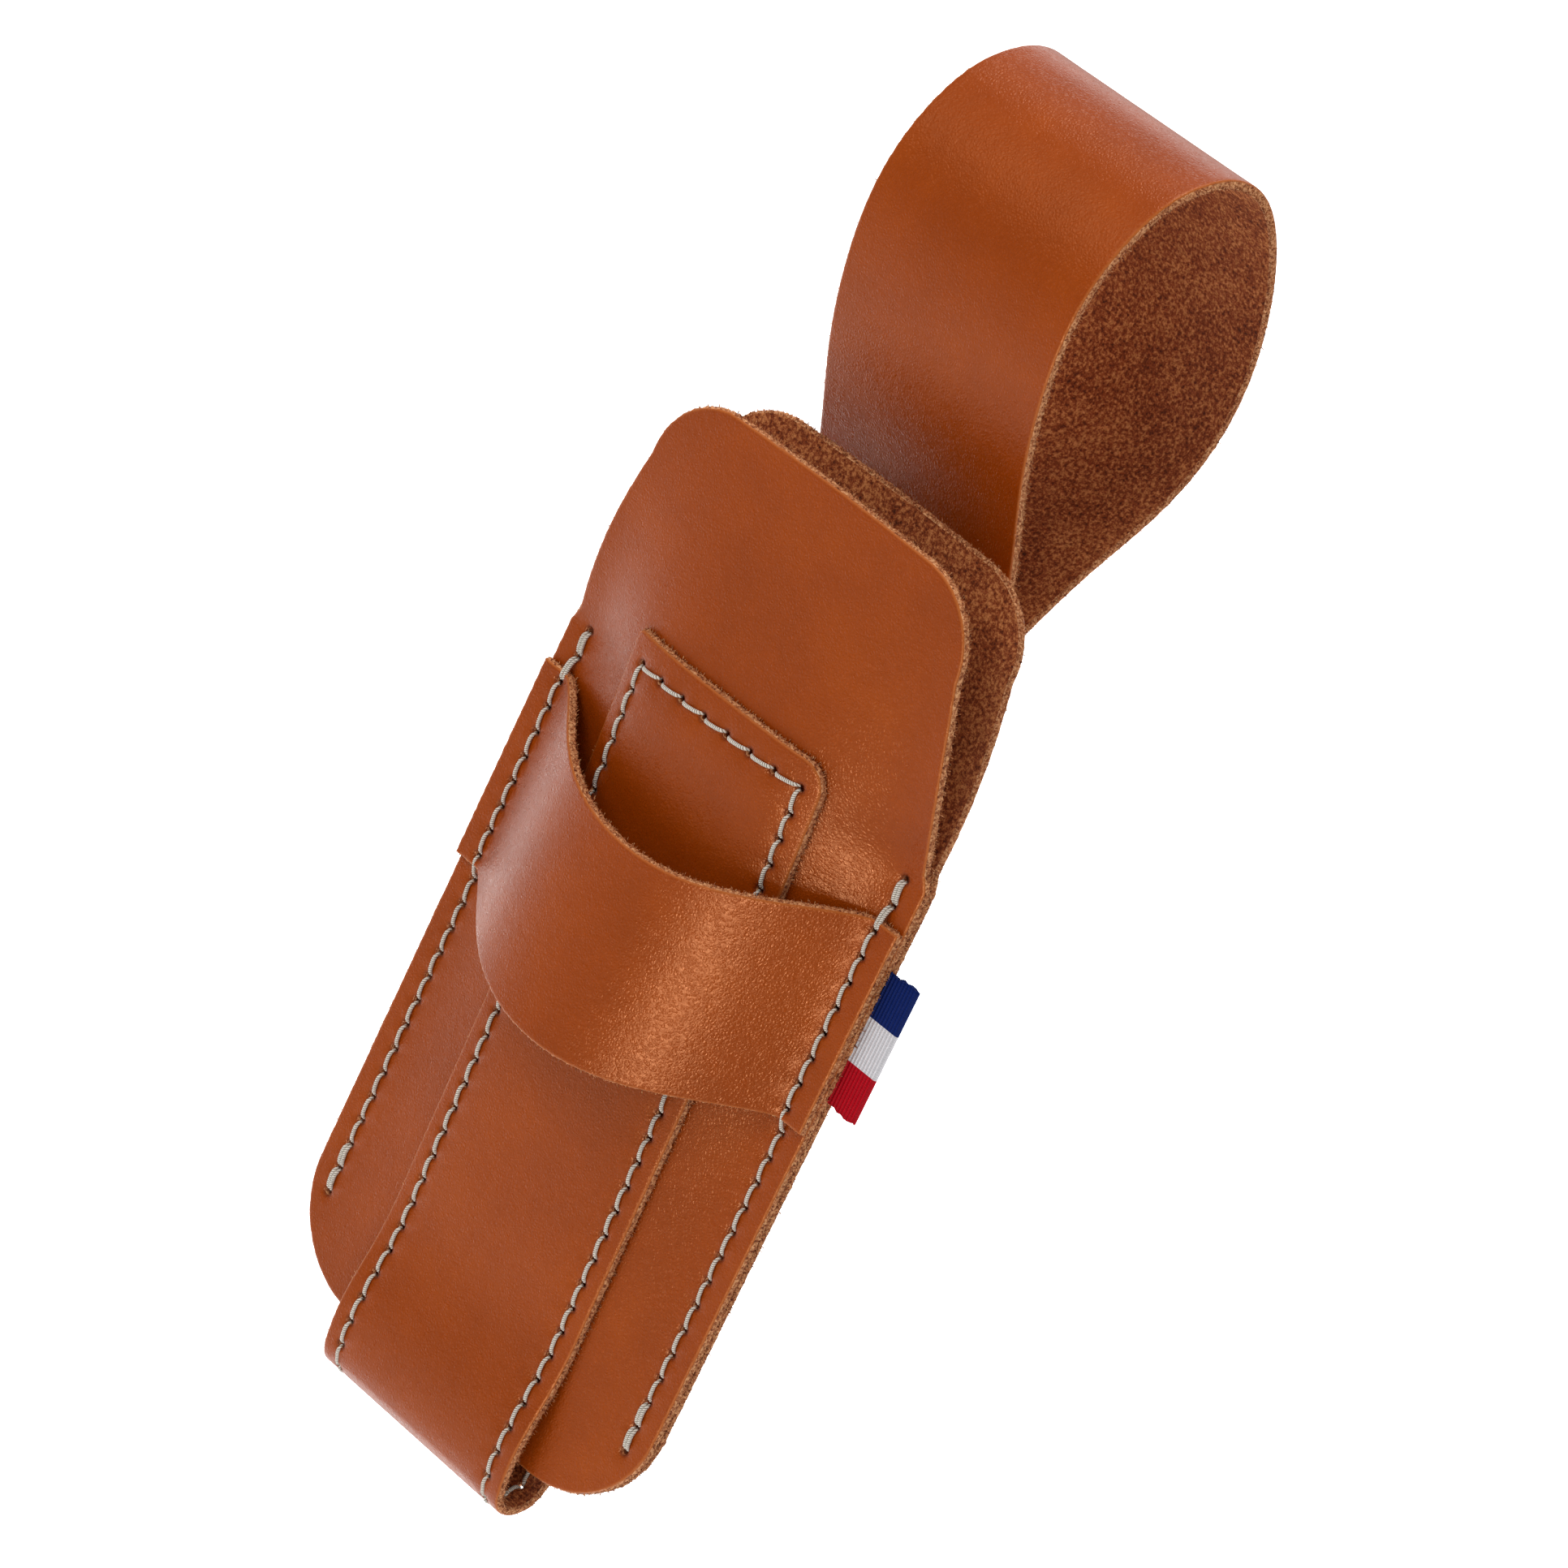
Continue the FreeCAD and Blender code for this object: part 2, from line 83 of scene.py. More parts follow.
column_x = 19.8
# How far the panel stands out at the strap's columns of stitches: at the lowest hole, more for each
# millimetre up, and more again above the seams; and how far the head's edges lean out.
front_swell = (1.3, 0.042, 2.0, 11.9)
swell_step_below = 8.0
swell_step_length = 10.0
lean_length = 24.0
lean_start = 3.0


def metres(point):
    """A point of the draft, in the row frame."""
    return Vector((point[0], point[1] - shift_y, point[2] - shift_z)) / 1000


def swell_across(x):
    """Share of the full swell at x: a flat-topped arch that dies out at the seams."""
    u = min(1.0, abs(x) / seam_half_width)
    return 1 - u**4 * (5 - 4 * u)


def panel_swell(x, z, base, slope, step, lean):
    """How far a panel stands out, from its swell at the stitch columns and its leaning head."""
    over = (z - seam_top + swell_step_below) / swell_step_length
    column = base + slope * z + step * (1 + math.tanh(over)) / 2
    above = max(0.0, z - seam_top)
    edge = lean * (1 - math.exp(-above / lean_length)) * above / (above + lean_start)
    return edge + (column - edge) * swell_across(x) / swell_across(column_x)


def front_face(x, z):
    """The depth of the front panel's grain side."""
    return -panel_swell(x, z, *front_swell)


def skin(depth_at, grain):
    """A sheet's grain side as a function: the point at (x, z), and the way out of the leather."""
    def at(x, z):
        step = 0.02
        slope_x = (depth_at(x + step, z) - depth_at(x - step, z)) / (2 * step)
        slope_z = (depth_at(x, z + step) - depth_at(x, z - step)) / (2 * step)
        way = Vector((-slope_x, 1, -slope_z)).normalized() * grain
        return Vector((x, depth_at(x, z), z)), way
    return at


def arc(centre, radius, start, end, step=0.8):
    """Points along an arc, with its angles in degrees from the +x side."""
    count = max(2, round(abs(math.radians(end - start)) * radius / step))
    angles = [math.radians(start + (end - start) * i / count) for i in range(count + 1)]
    return [(centre[0] + radius * math.cos(a), centre[1] + radius * math.sin(a)) for a in angles]


def run_of(corners, step=0.5):
    """A closed outline with points no further apart than step."""
    points = []
    for one, two in zip(corners, corners[1:] + corners[:1]):
        count = max(1, math.ceil(math.dist(one, two) / step - 1e-6))
        for i in range(count):
            share = i / count
            points.append((one[0] + (two[0] - one[0]) * share, one[1] + (two[1] - one[1]) * share))
    return points


def panel_outline():
    """The panels' outline, anticlockwise."""
    half = body_half_width
    foot_corner = (half - bottom_corner, bottom_corner - bottom_below_seam)
    shoulder_x = half - shoulder_step
    shoulder_z = seam_top + shoulder_height
    right = arc(foot_corner, bottom_corner, -90, 0)
    right += [(half, seam_top), (shoulder_x, shoulder_z)]
    crown_radius = (head_half_width**2 + head_crown**2) / (2 * head_crown)
    crown_centre = head_top - crown_radius
    round_x = head_half_width - head_corner
    round_z = crown_centre + math.sqrt((crown_radius - head_corner) ** 2 - round_x**2)
    lean = math.degrees(math.atan2(round_x, round_z - crown_centre))
    for i in range(1, 8):
        share = i / 8
        x = shoulder_x + (head_half_width - shoulder_x) * share + flank_bow * 4 * share * (1 - share)
        right.append((x, shoulder_z + (round_z - shoulder_z) * share))
    right += arc((round_x, round_z), head_corner, 0, 90 - lean)
    right += arc((0, crown_centre), crown_radius, 90 - lean, 90)[1:-1]
    left = [(-x, z) for x, z in reversed(right)]
    return right + [(0, head_top)] + left


def ragged(seed):
    """A repeatable wavering number of about -1 to 1, as a function of how far along one is."""
    draw = random.Random(seed)
    waves = [(draw.uniform(0.15, 2.4), draw.uniform(0, 6.3)) for _ in range(9)]
    return lambda s: sum(math.sin(rate * s + start) for rate, start in waves) / 4.2


hole_radius = 0.7
hole_rings = (0.0, 0.35, 0.9)
hole_room = 1.7
hole_corners = 10
pucker_depth = 0.32
pucker_reach = 0.55
rim_insets = (0.3, 0.8, 1.8)
rim_room = 2.6
# The shaders know the rim and the holes by how many millimetres away they are, up to this far.
far_away = 3.0
# The cut edge from the grain down: how far in from the outline, and how deep in the leather.
edge_profile = [(0.1, 0.07), (0.0, 0.26), (-0.08, 0.5), (-0.14, 0.78), (-0.16, 1.06), (-0.12, 1.34),
                (-0.02, 1.62)]
torn_below = 0.4
fibres_per_mm = 6.5


def cut_leather(name, outline, at, holes, flat, seed, step=2.4):
    """A piece of leather: grain and flesh side, worn arris, torn cut edge, and punched holes.

    The outline, the holes and a spread of points are laid out flat, and at(x, z) gives each
    point's place in the draft and the way out of the leather there.
    """
    outline = run_of(outline)
    count = len(outline)
    area = sum(a[0] * b[1] - b[0] * a[1] for a, b in zip(outline, outline[1:] + outline[:1]))
    turn = 1 if area > 0 else -1
    inward = []
    for i in range(count):
        before, here, after = outline[i - 1], outline[i], outline[(i + 1) % count]
        one = Vector((-(here[1] - before[1]), here[0] - before[0])).normalized() * turn
        two = Vector((-(after[1] - here[1]), after[0] - here[0])).normalized() * turn
        middle = (one + two).normalized()
        inward.append(middle / max(0.5, middle.dot(one)))

    def ring(inset):
        return [(p[0] + n.x * inset, p[1] + n.y * inset) for p, n in zip(outline, inward)]

    # Flat layout: outline rings, rings round each hole, and an even spread of points between.
    flat_points = []
    distance = []
    for inset in rim_insets:
        flat_points += ring(inset)
        distance += [inset] * count
    edges = [(i, (i + 1) % count) for i in range(count)]
    around = hole_corners
    for x, z in holes:
        start = len(flat_points)
        for wider in hole_rings:
            radius = hole_radius + wider
            for i in range(around):
                angle = 2 * math.pi * (i + 0.5) / around
                flat_points.append((x + radius * math.cos(angle), z + radius * math.sin(angle)))
                distance.append(far_away)
        edges += [(start + i, start + (i + 1) % around) for i in range(around)]
    rim = np.array(outline)
    spots = np.array(holes)

    def nearest_hole(x, z):
        return float(np.hypot(spots[:, 0] - x, spots[:, 1] - z).min())

    low, high = rim.min(0), rim.max(0)
    rows = int((high[1] - low[1]) / step)
    for row in range(1, rows):
        z = low[1] + (high[1] - low[1]) * row / rows
        columns = int((high[0] - low[0]) / step)
        for column in range(1, columns):
            x = low[0] + (high[0] - low[0]) * (column + 0.5 * (row % 2)) / columns
            away = np.hypot(rim[:, 0] - x, rim[:, 1] - z).min()
            if away < rim_room or nearest_hole(x, z) < hole_radius + hole_room:
                continue
            flat_points.append((x, z))
            distance.append(min(far_away, away))
    made = delaunay_2d_cdt([Vector(p) for p in flat_points], edges, [list(range(count))], 1, 1e-5)
    places, faces, origins = made[0], made[2], made[3]
    kept = []
    for face in faces:
        x = sum(places[i].x for i in face) / len(face)
        z = sum(places[i].y for i in face) / len(face)
        if nearest_hole(x, z) > hole_radius * 0.9:
            kept.append(face)
    order = [origin[0] if origin else -1 for origin in origins]
    index = {source: new for new, source in enumerate(order)}

    mesh = bmesh.new()
    edge_layer = mesh.verts.layers.float.new("edge")
    hole_layer = mesh.verts.layers.float.new("hole")
    layout = mesh.loops.layers.uv.new("flat")
    flat_of = []

    def add(flat_point, inset_depth, edge, nearest):
        point, way = at(*flat_point)
        vert = mesh.verts.new(metres(point - way * inset_depth))
        vert[edge_layer] = edge
        vert[hole_layer] = nearest
        flat_of.append(flat(*flat_point))
        return vert

    sides = []
    for under in (False, True):
        verts = []
        for new, place in enumerate(places):
            nearest = min(far_away, nearest_hole(place.x, place.y))
            dip = pucker_depth * math.exp(-(((nearest - hole_radius) / pucker_reach) ** 2))
            deep = leather if under else dip
            far = distance[order[new]] if order[new] >= 0 else far_away
            verts.append(add((place.x, place.y), deep, far, nearest))
        for face in kept:
            mesh.faces.new([verts[i] for i in face]).material_index = 1 if under else 0
        sides.append(verts)

    # The cut edge: rounded and rubbed at the grain, torn and fibrous towards the flesh side.
    waver = ragged(seed)
    fray = ragged(seed + 1)
    grit = random.Random(seed + 3)
    rings = [[sides[0][index[i]] for i in range(count)]]
    along = [0.0]
    for one, two in zip(outline, outline[1:]):
        along.append(along[-1] + math.dist(one, two))
    for level, (inset, deep) in enumerate(edge_profile):
        verts = []
        for i in range(count):
            rough = 0.05 * fray(1.7 * along[i])
            if deep > torn_below:
                rough += 0.1 * waver(3.1 * along[i] + 7 * level) + grit.uniform(-0.17, 0.17)
            spot = (outline[i][0] + inward[i].x * (inset + rough),
                    outline[i][1] + inward[i].y * (inset + rough))
            verts.append(add(spot, deep, 0.0, far_away))
        rings.append(verts)
    rings.append([sides[1][index[i]] for i in range(count)])
    for level, (upper, lower) in enumerate(zip(rings, rings[1:])):
        for i in range(count):
            after = (i + 1) % count
            face = mesh.faces.new([upper[after], upper[i], lower[i], lower[after]])
            face.material_index = 0 if level < 2 else 2
    for number in range(len(holes)):
        start = 3 * count + number * 3 * around
        for i in range(around):
            after = (i + 1) % around
            top = [sides[0][index[start + i]], sides[0][index[start + after]]]
            bottom = [sides[1][index[start + after]], sides[1][index[start + i]]]
            mesh.faces.new(top + bottom).material_index = 2

    # Fibres that stand off the cut edge, mostly at the flesh side.
    draw = random.Random(seed + 2)
    for _ in range(int(along[-1] * fibres_per_mm)):
        i = draw.randrange(count)
        deep = draw.choice((0.5, 0.9, 1.2, 1.5, 1.65, 1.7))
        point, way = at(*outline[i])
        beyond = at(outline[i][0] - inward[i].x, outline[i][1] - inward[i].y)[0]
        out = (beyond - point).normalized()
        ahead = out.cross(way)
        root = point - way * deep
        reach = draw.choice((0.3, 0.35, 0.45, 0.6, 0.9)) * draw.uniform(0.7, 1.3)
        wide = draw.uniform(0.04, 0.1)
        bend = ahead * draw.uniform(-0.35, 0.35) - way * draw.uniform(-0.1, 0.3)
        middle = root + out * reach * 0.6 + bend * reach * 0.5
        tip = root + out * reach * 0.8 + bend * reach * 1.6
        base = []
        for k in range(3):
            angle = 2 * math.pi * k / 3
            base.append((ahead * math.cos(angle) + way * math.sin(angle)) * wide)
        loops = []
        for centre, size in ((root - out * 0.15, 1.0), (middle, 0.8)):
            ring_verts = []
            for offset in base:
                vert = mesh.verts.new(metres(centre + offset * size))
                vert[hole_layer] = far_away
                flat_of.append(flat(*outline[i]))
                ring_verts.append(vert)
            loops.append(ring_verts)
        end = mesh.verts.new(metres(tip))
        end[hole_layer] = far_away
        flat_of.append(flat(*outline[i]))
        new_faces = [mesh.faces.new(loops[0][::-1])]
        for k in range(3):
            after = (k + 1) % 3
            side = [loops[0][k], loops[0][after], loops[1][after], loops[1][k]]
            new_faces.append(mesh.faces.new(side))
            new_faces.append(mesh.faces.new([loops[1][k], loops[1][after], end]))
        for face in new_faces:
            face.material_index = 2
    mesh.verts.index_update()
    for face in mesh.faces:
        face.smooth = True
        for loop in face.loops:
            loop[layout].uv = flat_of[loop.vert.index]
    bmesh.ops.recalc_face_normals(mesh, faces=mesh.faces)
    data = bpy.data.meshes.new(name)
    mesh.to_mesh(data)
    mesh.free()
    piece = bpy.data.objects.new(name, data)
    bpy.context.scene.collection.objects.link(piece)
    return piece


def linear(hex_colour):
    """An sRGB hex colour as linear RGBA."""
    values = [int(hex_colour[i:i + 2], 16) / 255 for i in (1, 3, 5)]
    return [v / 12.92 if v <= 0.04045 else ((v + 0.055) / 1.055) ** 2.4 for v in values] + [1.0]


def new_material(name):
    """An empty node material, and its Principled shader."""
    material = bpy.data.materials.new(name)
    material.use_nodes = True
    return material, material.node_tree.nodes["Principled BSDF"]


def node(material, kind, settings=None, stops=(), **links):
    """Adds a node: settings are its properties or input values, links its inputs' sources, and
    stops the (position, hex colour) pairs of a colour ramp."""
    made = material.node_tree.nodes.new(kind)
    for key, value in (settings or {}).items():
        if isinstance(key, int) or key in made.inputs:
            made.inputs[key].default_value = value
        else:
            setattr(made, key, value)
    for i, (position, colour) in enumerate(stops):
        elements = made.color_ramp.elements
        element = elements[i] if i < len(elements) else elements.new(position)
        element.position = position
        element.color = linear(colour)
    for key, source in links.items():
        target = made.inputs[int(key[1:])] if key[0] == "i" and key[1:].isdigit() else made.inputs[key]
        material.node_tree.links.new(source, target)
    return made


def cognac_grain():
    """Full-grain cowhide, drum-dyed cognac, with a thin glossy finish: fine pebbles about 0.6 mm
    across with creases between them, a cloudy dye, and paler rubbed arrises. The creases and the
    mouths of the stitch holes are painted darker as shade."""
    material, shader = new_material("cognac_full_grain_leather")
    flat = node(material, "ShaderNodeUVMap", {"uv_map": "flat"}).outputs["UV"]
    # The flat layout is in decimetres, so a scale of 1 is one pattern per 100 mm: clouds are 25 mm
    # across, pebbles 0.6 mm, and the fine unevenness under them 1.7 mm.
    cloud = node(material, "ShaderNodeTexNoise", {"Scale": 4.0, "Detail": 5.0, "Roughness": 0.65},
                 Vector=flat)
    colour = node(material, "ShaderNodeValToRGB", i0=cloud.outputs["Fac"],
                  stops=((0.25, "#8C3603"), (0.5, "#973C03"), (0.75, "#A14304"))).outputs["Color"]
    pebbles = node(material, "ShaderNodeTexVoronoi",
                   {"Scale": 165.0, "feature": "DISTANCE_TO_EDGE", "Randomness": 1.0}, Vector=flat)
    crease = node(material, "ShaderNodeMapRange", {"interpolation_type": "SMOOTHSTEP", 1: 0.0, 2: 0.4},
                  i0=pebbles.outputs["Distance"]).outputs[0]
    # Painted shade: the creases between the pebbles are darkened a little towards dark brown.
    deep = node(material, "ShaderNodeMapRange", {1: 0.0, 2: 0.6, 3: 0.12, 4: 0.0}, i0=crease).outputs[0]
    crease_shaded = node(material, "ShaderNodeMix", {"data_type": "RGBA", 7: linear("#6A2602")},
                   i0=deep, i6=colour)
    edge = node(material, "ShaderNodeAttribute", {"attribute_name": "edge"}).outputs["Fac"]
    rub = node(material, "ShaderNodeMapRange", {1: 0.0, 2: 0.5, 3: 0.85, 4: 0.0}, i0=edge).outputs[0]
    rubbed = node(material, "ShaderNodeMix", {"data_type": "RGBA", 7: linear("#B4622C")},
                  i0=rub, i6=crease_shaded.outputs[2])
    # Painted shade: the leather at the mouth of each stitch hole, where it dips into the hole, is
    # darkened towards near-black brown.
    near = node(material, "ShaderNodeAttribute", {"attribute_name": "hole"}).outputs["Fac"]
    pucker = node(material, "ShaderNodeMapRange", {1: 0.75, 2: 1.4, 3: 0.85, 4: 0.0}, i0=near).outputs[0]
    hole_shaded = node(material, "ShaderNodeMix", {"data_type": "RGBA", 7: linear("#5E1C04")},
                 i0=pucker, i6=rubbed.outputs[2])
    material.node_tree.links.new(hole_shaded.outputs[2], shader.inputs["Base Color"])
    fine = node(material, "ShaderNodeTexNoise", {"Scale": 60.0, "Detail": 5.0, "Roughness": 0.65},
                Vector=flat)
    height = node(material, "ShaderNodeMath", {"operation": "MULTIPLY_ADD", 1: 0.35},
                  i0=crease, i2=fine.outputs["Fac"]).outputs[0]
    bump = node(material, "ShaderNodeBump", {"Strength": 0.6, "Distance": 0.00018}, Height=height)
    material.node_tree.links.new(bump.outputs["Normal"], shader.inputs["Normal"])
    gloss = node(material, "ShaderNodeMapRange", {1: 0.3, 2: 0.7, 3: 0.25, 4: 0.35},
                 i0=fine.outputs["Fac"]).outputs[0]
    material.node_tree.links.new(gloss, shader.inputs["Roughness"])
    shader.inputs["IOR"].default_value = 1.5
    shader.inputs["Specular IOR Level"].default_value = 0.45
    shader.inputs["Specular Tint"].default_value = linear("#FFB884")
    return material


def suede_flesh():
    """The split, buffed flesh side: a short velvety nap in clumps of about 0.7 mm,
    brown and painted darker in the hollows as shade; it scatters light softly and shows no gloss."""
    material, shader = new_material("suede_flesh_side")
    place = node(material, "ShaderNodeTexCoord").outputs["Object"]
    # Object coordinates are metres: a scale of 1500 is one clump in about 0.7 mm.
    nap = node(material, "ShaderNodeTexNoise", {"Scale": 1500.0, "Detail": 6.0, "Roughness": 0.75},
               Vector=place)
    drift = node(material, "ShaderNodeTexNoise", {"Scale": 120.0, "Detail": 3.0}, Vector=place)
    both = node(material, "ShaderNodeMath", {"operation": "MULTIPLY_ADD", 1: 0.16},
                i0=drift.outputs["Fac"], i2=nap.outputs["Fac"]).outputs[0]
    # The colour follows the nap that also makes the bump: painted shade darkens the hollows between the
    # clumps.
    colour = node(material, "ShaderNodeValToRGB", i0=both,
                  stops=((0.42, "#3A130A"), (0.56, "#96441F"), (0.7, "#DE8E55"))).outputs["Color"]
    material.node_tree.links.new(colour, shader.inputs["Base Color"])
    bump = node(material, "ShaderNodeBump", {"Strength": 1.0, "Distance": 0.0004},
                Height=nap.outputs["Fac"])
    material.node_tree.links.new(bump.outputs["Normal"], shader.inputs["Normal"])
    shader.inputs["Roughness"].default_value = 0.95
    shader.inputs["Specular IOR Level"].default_value = 0.15
    shader.inputs["Sheen Weight"].default_value = 0.25
    shader.inputs["Sheen Roughness"].default_value = 0.5
    shader.inputs["Sheen Tint"].default_value = linear("#C98A60")
    return material


def raw_edge():
    """The raw cut edge: dyed fibres seen end on, rough, with the gaps between the bundles painted dark
    as shade.
    """
    material, shader = new_material("raw_cut_leather_edge")
    place = node(material, "ShaderNodeTexCoord").outputs["Object"]
    # A scale of 1900 is one bundle in about 0.5 mm: finer ones would not show.
    fibres = node(material, "ShaderNodeTexNoise", {"Scale": 1900.0, "Detail": 5.0, "Roughness": 0.7},
                  Vector=place)
    # The colour follows the same noise as the bump, so the gaps between the bundles are painted dark as
    # shade.
    colour = node(material, "ShaderNodeValToRGB", i0=fibres.outputs["Fac"],
                  stops=((0.36, "#5E240F"), (0.47, "#B4683A"), (0.6, "#EBAE7A"))).outputs["Color"]
    material.node_tree.links.new(colour, shader.inputs["Base Color"])
    bump = node(material, "ShaderNodeBump", {"Strength": 1.0, "Distance": 0.00025},
                Height=fibres.outputs["Fac"])
    material.node_tree.links.new(bump.outputs["Normal"], shader.inputs["Normal"])
    shader.inputs["Roughness"].default_value = 0.85
    shader.inputs["Specular IOR Level"].default_value = 0.25
    return material


grain_side = cognac_grain()
flesh_side = suede_flesh()
cut_edge = raw_edge()


def finish_leather(piece, node_names, body=None):
    """Gives a leather piece its three surfaces, its place in the frame and its body."""
    for material in (grain_side, flesh_side, cut_edge):
        piece.data.materials.append(material)
    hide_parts(*node_names)
    if body:
        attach(piece, body)


seam_holes = [(side * seam_half_width, i * stitch_pitch)
              for side in (-1, 1) for i in range(seam_stitches + 1)]
front_panel = cut_leather("front_panel_leather", panel_outline(), skin(front_face, -1), seam_holes,
                          lambda x, z: (x / 100, z / 100), 11)
finish_leather(front_panel, ["front_panel"], "sheath")

# ---- Back panel ---------------------------------------------------------------------------------
# The pouch's back, cut to the same outline from the same hide, grain side towards the wearer. Its
# head leans back from the front's, so its suede side shows in the mouth.
back_swell = (0.4, 0.015, 1.2, 5.2)


def back_face(x, z):
    """The depth of the back panel's grain side."""
    return pouch_depth + panel_swell(x, z, *back_swell)


back_panel = cut_leather("back_panel_leather", panel_outline(), skin(back_face, 1), seam_holes,
                         lambda x, z: (x / 100 + 2, z / 100), 23)
finish_leather(back_panel, ["back_panel"], "sheath")

# ---- Centre strap and belt loop -----------------------------------------------------------------
# One long strip of the same leather, 47 mm wide: sewn to the front, folded under the pouch, sewn up
# the back, then turned over into the belt loop, with its end tucked in behind the back run.
strap_half_width = 23.5
strap_top_above_seam = 10.5
strap_corner = 5.0
square_corner = 1.2
row_stitches = 7
front_run_end = 8.0
fold_drop = 10.3
fold_depth = 14.2
fold_back_shift = 0.6
back_run_start = 15.0
hinge_z = seam_top + 6
run_end = hinge_z - 5.0
strap_end_z = hinge_z - 25.0
end_clearance = 1.0
end_climb = 12.0
stem_length = 24.0
stem_lean = 23.0
loop_depth = 55.4
loop_height = 94.9
arch_fade = 12.0


def over_end(z):
    """Share of the rise by which the strap climbs over its own tucked end, at height z."""
    share = min(1.0, max(0.0, (z - strap_end_z + end_clearance) / end_climb + 1.0))
    return share * share * (3 - 2 * share)


def strap_route():
    """Points of the strip's mid-line in the plane x = 0, from its top on the front to its end."""
    lift = layer_gap + leather / 2
    spacing = leather + layer_gap
    front_run = np.linspace(seam_top + strap_top_above_seam, front_run_end, 13)
    points = [(front_face(column_x, z) - lift, z) for z in front_run]
    front_y = front_face(column_x, 0.0) - lift
    back_y = back_face(column_x, 2.0) + lift
    bottom = -bottom_below_seam - fold_drop + leather / 2
    middle = pouch_depth / 2 + fold_back_shift
    reach = (fold_depth - leather) / 2
    centre = bottom + reach
    # The fold is a rounded box: shares of its reach place its corners and its steeper back.
    corner = 0.72 * reach
    back_side = middle + 0.86 * reach
    side_z = centre + 0.6 * bottom_below_seam
    points += [(front_y - 1.1, -2.0), (middle - reach - 0.4125, side_z), (middle - reach, centre),
               (middle - corner, centre - corner), (middle, bottom), (middle + corner, centre - corner),
               (middle + reach, centre), (back_side, side_z), ((back_side + back_y) / 2, 0.0)]
    for z in np.linspace(back_run_start, run_end, 31):
        points.append((back_face(column_x, z) + lift + spacing * over_end(z), z))
    root = (back_face(column_x, hinge_z) + leather + 1.5 * layer_gap, hinge_z)
    lean = math.radians(stem_lean)
    along = (math.sin(lean), math.cos(lean))
    stem = [0.2, 0.5, 0.8, 1.0]
    foot = (root[0] + along[0] * stem_length, root[1] + along[1] * stem_length)
    teardrop = [(0.137, 0.111), (0.327, 0.247), (0.514, 0.365), (0.617, 0.481), (0.638, 0.593),
                (0.579, 0.737), (0.426, 0.891), (0.271, 0.972), (0.072, 1.000), (-0.052, 0.985),
                (-0.170, 0.950), (-0.274, 0.885), (-0.361, 0.758), (-0.336, 0.568),
                (-0.226, 0.395), (-0.105, 0.2625), (-0.022, 0.157), (0.007, 0.083)]
    for side, shares in ((1, stem), (-1, stem[::-1])):
        if side < 0:
            points += [(foot[0] + y * loop_depth, foot[1] + z * loop_height) for y, z in teardrop]
        for share in shares:
            up = share * stem_length
            points.append((root[0] + along[0] * up + side * along[1] * spacing / 2,
                           root[1] + along[1] * up - side * along[0] * spacing / 2))
    for z in np.linspace(run_end, strap_end_z, 6):
        points.append((back_face(column_x, z) + lift, z))
    return np.array(points)


def natural_spline(points):
    """A smooth curve through points: a function of the distance along it, and its whole length."""
    chord = np.concatenate([[0], np.cumsum(np.linalg.norm(np.diff(points, axis=0), axis=1))])
    gaps = np.diff(chord)
    size = len(points)
    system = np.zeros((size, size))
    right = np.zeros((size, 2))
    system[0, 0] = system[-1, -1] = 1.0
    for i in range(1, size - 1):
        system[i, i - 1:i + 2] = gaps[i - 1], 2 * (gaps[i - 1] + gaps[i]), gaps[i]
        ahead = (points[i + 1] - points[i]) / gaps[i]
        behind = (points[i] - points[i - 1]) / gaps[i - 1]
        right[i] = 6 * (ahead - behind)
    bends = np.linalg.solve(system, right)

    def at_chord(values):
        i = np.clip(np.searchsorted(chord, values) - 1, 0, size - 2)
        a = ((chord[i + 1] - values) / gaps[i])[:, None]
        b = ((values - chord[i]) / gaps[i])[:, None]
        square = (gaps[i] ** 2)[:, None] / 6
        return (a * points[i] + b * points[i + 1]
                + ((a**3 - a) * bends[i] + (b**3 - b) * bends[i + 1]) * square)

    fine = at_chord(np.linspace(0, chord[-1], 6001))
    travelled = np.concatenate([[0], np.cumsum(np.linalg.norm(np.diff(fine, axis=0), axis=1))])

    def at(distance):
        return np.array([np.interp(distance, travelled, fine[:, k]) for k in (0, 1)])

    return at, travelled[-1]


route, strip_length = natural_spline(strap_route())
heights = np.array([route(s)[1] for s in np.linspace(0, strip_length, 1200)])
fold_distance = float(np.argmin(heights) * strip_length / 1199)


def strip_skin(x, s):
    """The strip's grain side at x and a distance s along it, and the way out of the leather."""
    near = min(max(s, 0.4), strip_length - 0.4)
    ahead = route(near + 0.4) - route(near - 0.4)
    ahead /= np.linalg.norm(ahead)
    y, z = route(min(max(s, 0.0), strip_length))
    over = min(0.0, s) + max(0.0, s - strip_length)
    y, z = y + ahead[0] * over, z + ahead[1] * over
    if s < fold_distance:
        face, low, high = front_face, -12.0, 2 * head_top
    else:
        face, low, high = back_face, 0.0, hinge_z + 18.0
    fade = min(1.0, max(0.0, (z - low) / arch_fade), max(0.0, (high - z) / arch_fade))
    rise = (face(x, z) - face(column_x, z)) * fade
    way = Vector((0, ahead[1], -ahead[0]))
    return Vector((x, y + rise, z)) + way * leather / 2, way


def passes(z):
    """The distance at which the strip first passes height z on its way up the back."""
    for s in np.linspace(fold_distance, strip_length, 3000):
        if route(s)[1] >= z:
            return float(s)
    return strip_length


